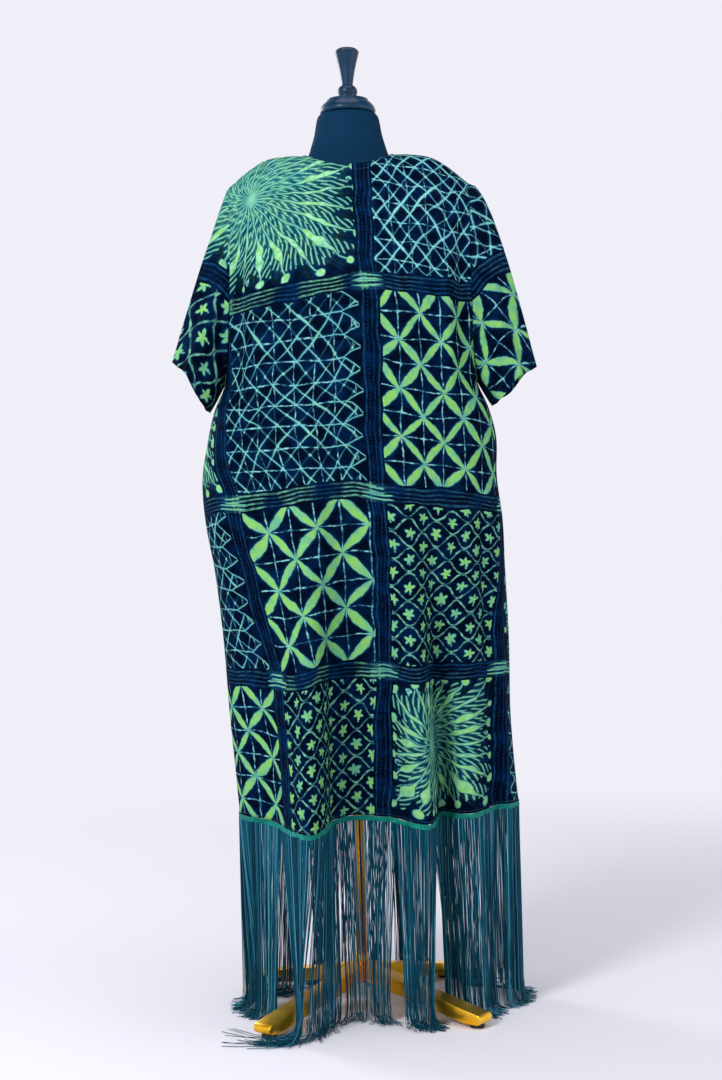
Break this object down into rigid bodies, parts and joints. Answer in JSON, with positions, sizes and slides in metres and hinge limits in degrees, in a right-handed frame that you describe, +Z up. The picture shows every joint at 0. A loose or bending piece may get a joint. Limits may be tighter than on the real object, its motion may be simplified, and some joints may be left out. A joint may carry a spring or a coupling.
{
  "type": "kaftan on a dress form",
  "caption": "Floor-length kaftan in indigo resist-dyed cotton with short open sleeves and a long fringed hem, on a limbless dress form with a pole and a low legged stand.",
  "frame": {"origin": "on the floor under the pole of the stand, at the bottom centre of the whole object's box", "axes": "+Z up, the wearer's front faces -Y, +X to the right of someone who stands in front of it"},
  "size_m": [0.616, 0.5029, 1.627],
  "materials": {
    "adire_cotton": "indigo cotton with lime and aqua resist lines, matt with a soft starch sheen",
    "fringe_yarn": "dark teal rayon yarn with an emerald header tape, silky",
    "form_jersey": "matt navy jersey",
    "lacquer": "dark blue gloss lacquer",
    "gold_metal": "polished gold plating",
    "foot_pad": "matt black pad"
  },
  "bodies": {
    "root": {"front_panel": "adire_cotton", "back_panel": "adire_cotton", "sleeve_left": "adire_cotton", "sleeve_right": "adire_cotton", "fringe_front": "fringe_yarn", "fringe_back": "fringe_yarn", "form_body": "form_jersey", "neck_cap": "lacquer", "finial": "lacquer", "pole": "gold_metal", "pole_collar": "gold_metal", "hub": "gold_metal", "leg_1": "gold_metal", "leg_2": "gold_metal", "leg_3": "gold_metal", "leg_4": "gold_metal", "foot_1": "foot_pad", "foot_2": "foot_pad", "foot_3": "foot_pad", "foot_4": "foot_pad"}
  },
  "joints": []
}
